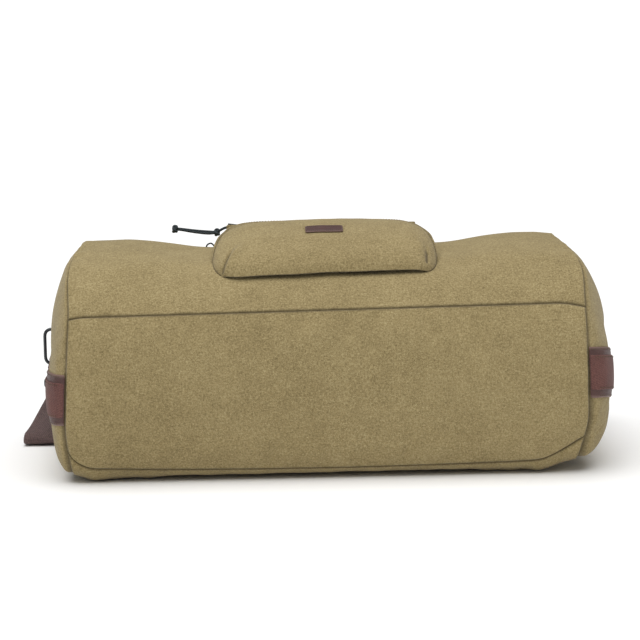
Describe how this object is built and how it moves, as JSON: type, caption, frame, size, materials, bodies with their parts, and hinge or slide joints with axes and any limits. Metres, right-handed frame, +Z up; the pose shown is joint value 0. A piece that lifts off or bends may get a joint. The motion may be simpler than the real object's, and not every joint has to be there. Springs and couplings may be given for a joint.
{
  "type": "duffel bag",
  "caption": "Soft canvas duffel bag with a long zipped mouth, a zipped front pocket, domed ends with leather bands, two carry handles and a webbing shoulder strap.",
  "frame": {"origin": "middle of the flat back face that the bag rests on", "axes": "+X along the bag, +Y from the base panel to the mouth, +Z up from the back panel to the pocket"},
  "size_m": [0.5958, 0.4841, 0.2382],
  "materials": {
    "canvas": "washed canvas, matt",
    "webbing": "woven webbing",
    "leather": "satin",
    "cord": "braided cord",
    "black_metal": "gloss black",
    "zip_coil": "satin",
    "board": "matt"
  },
  "bodies": {
    "bag": {"base_panel": "canvas", "front_panel": "canvas", "back_panel": "canvas", "end_cap_left": "canvas", "end_cap_right": "canvas", "mouth_gusset_left": "canvas", "mouth_gusset_right": "canvas", "pocket_gusset": "canvas", "pocket_zip_tape": "canvas", "end_webbing_left": "webbing", "end_webbing_right": "webbing", "dring_keeper_left": "webbing", "dring_keeper_right": "webbing", "strap_webbing": "webbing", "end_band_left": "leather", "end_band_right": "leather", "zip_stop_left": "leather", "zip_stop_right": "leather", "handle_patch_back_left": "leather", "handle_patch_back_right": "leather", "pocket_zip_loop": "cord", "strap_hook_left": "black_metal", "strap_hook_right": "black_metal", "strap_eye_left": "black_metal", "strap_eye_right": "black_metal", "strap_swivel_left": "black_metal", "strap_swivel_right": "black_metal", "pocket_zip_coil": "zip_coil", "base_board": "board"},
    "mouth_front": {"mouth_flap_front": "canvas", "zip_tape_front": "webbing", "zip_coil_front": "zip_coil", "handle_patch_front_left": "leather", "handle_patch_front_right": "leather"},
    "mouth_back": {"mouth_flap_back": "canvas", "zip_tape_back": "webbing", "zip_coil_back": "zip_coil"},
    "main_slider": {"main_zip_slider": "black_metal", "main_pull_cord": "cord", "main_pull_knot": "cord", "main_pull_tail": "cord", "main_pull_end": "cord"},
    "pocket_slider": {"pocket_zip_slider": "black_metal", "pocket_pull_cord": "cord", "pocket_pull_knot": "cord", "pocket_pull_tail": "cord", "pocket_pull_end": "cord"},
    "pocket_lip": {"pocket_front": "canvas", "pocket_label": "leather"},
    "handle_front": {"handle_front": "webbing"},
    "handle_back": {"handle_back": "webbing"},
    "dring_left": {"dring_left": "black_metal"},
    "dring_right": {"dring_right": "black_metal"},
    "adjuster": {"strap_adjuster": "black_metal"}
  },
  "joints": [
    {"name": "mouth_front", "type": "hinge", "parent": "bag", "child": "mouth_front", "pos_m": [0, 0.091, 0.2055], "axis": [1, 0, 0], "range_deg": [0, 60]},
    {"name": "mouth_back", "type": "hinge", "parent": "bag", "child": "mouth_back", "pos_m": [0, 0.128, 0.038], "axis": [-1, 0, 0], "range_deg": [0, 30]},
    {"name": "main_zip", "type": "slide", "parent": "bag", "child": "main_slider", "axis": [1, 0, 0], "range_m": [0, 0.464]},
    {"name": "pocket_zip", "type": "slide", "parent": "bag", "child": "pocket_slider", "axis": [1, 0, 0], "range_m": [0, 0.175]},
    {"name": "pocket_lip", "type": "hinge", "parent": "bag", "child": "pocket_lip", "pos_m": [0, -0.065, 0.1957], "axis": [1, 0, 0], "range_deg": [0, 16]},
    {"name": "handle_front", "type": "hinge", "parent": "mouth_front", "child": "handle_front", "pos_m": [0, 0.146, 0.15], "axis": [1, 0, 0], "range_deg": [0, 95]},
    {"name": "handle_back", "type": "hinge", "parent": "bag", "child": "handle_back", "pos_m": [0, 0.1335, 0.0095], "axis": [1, 0, 0], "range_deg": [0, 45]},
    {"name": "dring_left", "type": "hinge", "parent": "bag", "child": "dring_left", "pos_m": [-0.2675, 0.142, 0.0922], "axis": [0, 0, 1], "range_deg": [-5, 5]},
    {"name": "dring_right", "type": "hinge", "parent": "bag", "child": "dring_right", "pos_m": [0.2625, 0.1495, 0.083], "axis": [0, 0, 1], "range_deg": [-5, 5]},
    {"name": "strap_adjuster", "type": "slide", "parent": "bag", "child": "adjuster", "axis": [1, 0, 0], "range_m": [-0.02, 0.02]}
  ],
  "couplings": [
    {"joint": "mouth_back", "follows": "mouth_front", "ratio": 0.5}
  ]
}
